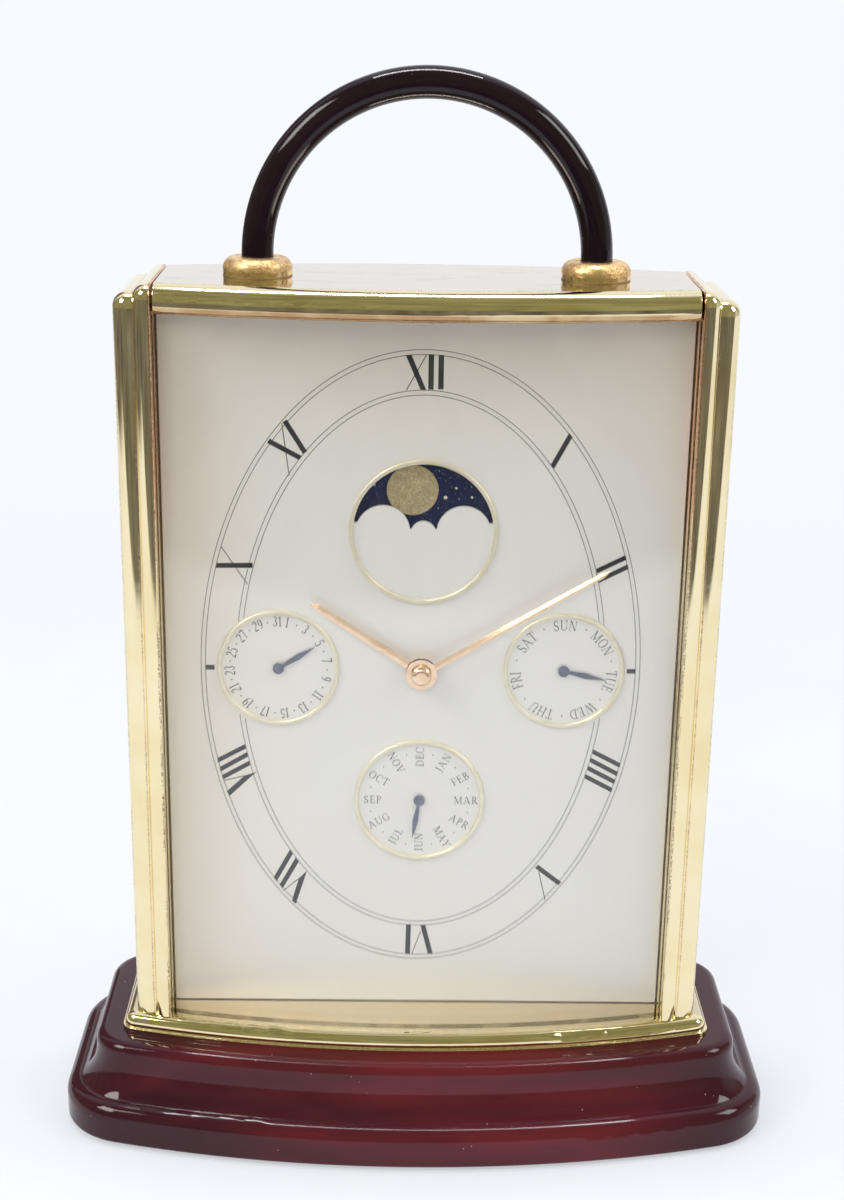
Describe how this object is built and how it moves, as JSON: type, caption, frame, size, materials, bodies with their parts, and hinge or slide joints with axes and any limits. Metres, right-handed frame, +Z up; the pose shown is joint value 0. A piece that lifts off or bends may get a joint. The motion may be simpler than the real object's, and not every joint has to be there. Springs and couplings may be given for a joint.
{
  "type": "moon phase desk clock",
  "caption": "Desk clock with a carrying handle, a bowed glass and metal case on a moulded wooden base, a moon phase window and small date, day and month dials.",
  "frame": {"origin": "on the floor, under the middle of the base", "axes": "+Z up; the dial faces -Y; +X to the right as the dial is read"},
  "size_m": [0.1716, 0.08, 0.25],
  "materials": {
    "burgundy_wood": "high gloss burgundy lacquer over wood",
    "felt": "dark green felt",
    "polished_brass": "polished gold plate, pitted by wear",
    "cast_brass": "polished gold plate over cast zinc",
    "steel": "zinc-plated steel",
    "handle_metal": "near-black brown high gloss lacquer on steel bar",
    "clear_glass": "clear bowed glass",
    "dial_cream": "matt silvery cream dial paint on aluminium",
    "ring_gold": "polished gilt ring",
    "hand_gold": "polished rose gold",
    "pointer_blue": "blue-grey steel",
    "moon_print": "printed night-sky disc",
    "inner_plastic": "moulded black plastic",
    "white_plastic": "natural white acetal",
    "train_brass": "plain brass",
    "knob_plastic": "black moulded knob",
    "copper": "enamelled copper wire",
    "board_green": "circuit board with solder mask",
    "cover_plastic": "textured black moulded plastic",
    "cell": "plain wrapped dry cell",
    "spring_metal": "nickel-plated spring leaf"
  },
  "bodies": {
    "case": {"wooden_base": "burgundy_wood", "base_pads": "felt", "bottom_plate": "polished_brass", "side_panel_left": "cast_brass", "side_panel_right": "cast_brass", "top_plate": "cast_brass", "base_screws": "steel", "top_screws": "steel", "handle": "handle_metal", "ferrule_left": "polished_brass", "ferrule_right": "polished_brass", "handle_studs": "steel", "handle_nuts": "steel", "front_glass": "clear_glass", "dial_plate": "dial_cream", "dial_support": "inner_plastic", "moon_window_ring": "ring_gold", "date_ring": "ring_gold", "day_ring": "ring_gold", "month_ring": "ring_gold", "star_clicks": "spring_metal", "stator": "steel", "coil": "copper", "circuit_board": "board_green", "movement_plate": "inner_plastic", "movement_cover": "inner_plastic", "movement_screws": "steel", "battery_bay": "inner_plastic", "battery": "cell", "battery_contacts": "spring_metal", "rear_cover": "cover_plastic", "rear_screws": "steel"},
    "minute": {"minute_arbor": "train_brass", "minute_hand": "hand_gold", "hand_cap": "hand_gold", "centre_wheel": "white_plastic"},
    "hour": {"hour_wheel": "white_plastic", "hour_hand": "hand_gold"},
    "reduction": {"reduction_wheel": "white_plastic", "time_knob": "knob_plastic"},
    "date_drive": {"date_drive_wheel": "white_plastic"},
    "day_drive": {"day_drive_wheel": "white_plastic"},
    "moon_drive": {"moon_drive_wheel": "white_plastic"},
    "intermediate": {"intermediate_wheel": "white_plastic"},
    "rotor": {"rotor": "train_brass"},
    "date": {"date_star": "white_plastic", "date_pointer": "pointer_blue", "date_knob": "knob_plastic"},
    "day": {"day_star": "white_plastic", "day_pointer": "pointer_blue", "day_knob": "knob_plastic"},
    "month": {"month_star": "white_plastic", "month_pointer": "pointer_blue", "month_knob": "knob_plastic"},
    "moon": {"moon_star": "white_plastic", "moon_disc": "moon_print", "moon_knob": "knob_plastic"},
    "door": {"battery_door": "cover_plastic"}
  },
  "joints": [
    {"name": "minute_turn", "type": "hinge", "parent": "case", "child": "minute", "pos_m": [0, 0, 0.1148], "axis": [0, 1, 0], "continuous": true},
    {"name": "hour_turn", "type": "hinge", "parent": "case", "child": "hour", "pos_m": [0, 0, 0.1148], "axis": [0, 1, 0], "continuous": true},
    {"name": "reduction_turn", "type": "hinge", "parent": "case", "child": "reduction", "pos_m": [0, 0, 0.1028], "axis": [0, 1, 0], "continuous": true},
    {"name": "date_drive_turn", "type": "hinge", "parent": "case", "child": "date_drive", "pos_m": [-0.018, 0, 0.1148], "axis": [0, 1, 0], "continuous": true},
    {"name": "day_drive_turn", "type": "hinge", "parent": "case", "child": "day_drive", "pos_m": [0.018, 0, 0.1148], "axis": [0, 1, 0], "continuous": true},
    {"name": "moon_drive_turn", "type": "hinge", "parent": "case", "child": "moon_drive", "pos_m": [0, 0, 0.1328], "axis": [0, 1, 0], "continuous": true},
    {"name": "intermediate_turn", "type": "hinge", "parent": "case", "child": "intermediate", "pos_m": [0.00883, 0, 0.1199], "axis": [0, 1, 0], "continuous": true},
    {"name": "rotor_turn", "type": "hinge", "parent": "case", "child": "rotor", "pos_m": [0.01783, 0, 0.1199], "axis": [0, 1, 0], "continuous": true},
    {"name": "date_turn", "type": "hinge", "parent": "case", "child": "date", "pos_m": [-0.0332, 0, 0.1148], "axis": [0, 1, 0], "continuous": true},
    {"name": "day_turn", "type": "hinge", "parent": "case", "child": "day", "pos_m": [0.0332, 0, 0.1148], "axis": [0, 1, 0], "continuous": true},
    {"name": "month_turn", "type": "hinge", "parent": "case", "child": "month", "pos_m": [0, 0, 0.0816], "axis": [0, 1, 0], "continuous": true},
    {"name": "moon_turn", "type": "hinge", "parent": "case", "child": "moon", "pos_m": [0, 0, 0.148], "axis": [0, 1, 0], "continuous": true},
    {"name": "battery_door_hinge", "type": "hinge", "parent": "case", "child": "door", "pos_m": [0, 0.0131, 0.0669], "axis": [1, 0, 0], "range_deg": [0, 90]}
  ],
  "couplings": [
    {"joint": "hour_turn", "follows": "minute_turn", "ratio": 0.083333},
    {"joint": "reduction_turn", "follows": "minute_turn", "ratio": -0.33333},
    {"joint": "date_drive_turn", "follows": "minute_turn", "ratio": -0.041667},
    {"joint": "day_drive_turn", "follows": "minute_turn", "ratio": -0.041667},
    {"joint": "moon_drive_turn", "follows": "minute_turn", "ratio": -0.041667},
    {"joint": "intermediate_turn", "follows": "minute_turn", "ratio": -7.5},
    {"joint": "rotor_turn", "follows": "minute_turn", "ratio": 60}
  ]
}
